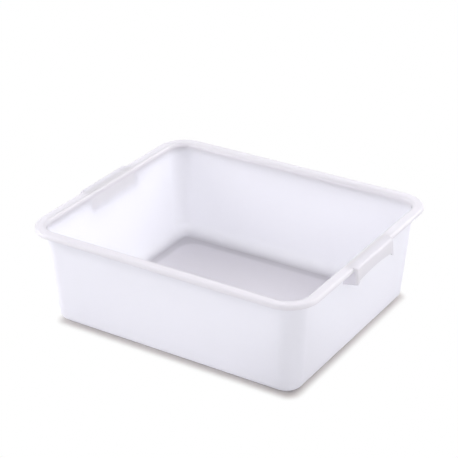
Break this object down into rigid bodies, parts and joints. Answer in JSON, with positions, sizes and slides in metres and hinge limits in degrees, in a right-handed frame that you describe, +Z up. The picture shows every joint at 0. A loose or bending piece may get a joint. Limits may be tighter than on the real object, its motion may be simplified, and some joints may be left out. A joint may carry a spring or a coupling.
{
  "type": "plastic tub",
  "caption": "Shallow rectangular white plastic tub, open at the top, with leaning walls, rounded corners, a rolled-out rim and a finger grip under the rim at each end",
  "frame": {"origin": "on the ground under the middle of the floor", "axes": "+X along the long side, toward the right grip; +Y across, away from the side seen in front; +Z up"},
  "size_m": [0.5448, 0.45, 0.176],
  "materials": {
    "floor_plastic": "satin milky white polyethylene, a little rougher than the walls",
    "wall_plastic": "satin milky white polyethylene that lets some light through",
    "rim_plastic": "satin milky white polyethylene with a soft sheen on its rounded edges",
    "grip_plastic": "satin milky white polyethylene with a soft sheen on its rounded edges"
  },
  "bodies": {
    "root": {"floor": "floor_plastic", "front_wall": "wall_plastic", "rear_wall": "wall_plastic", "left_wall": "wall_plastic", "right_wall": "wall_plastic", "front_left_corner": "wall_plastic", "front_right_corner": "wall_plastic", "rear_left_corner": "wall_plastic", "rear_right_corner": "wall_plastic", "rim": "rim_plastic", "left_grip": "grip_plastic", "right_grip": "grip_plastic"}
  },
  "joints": []
}
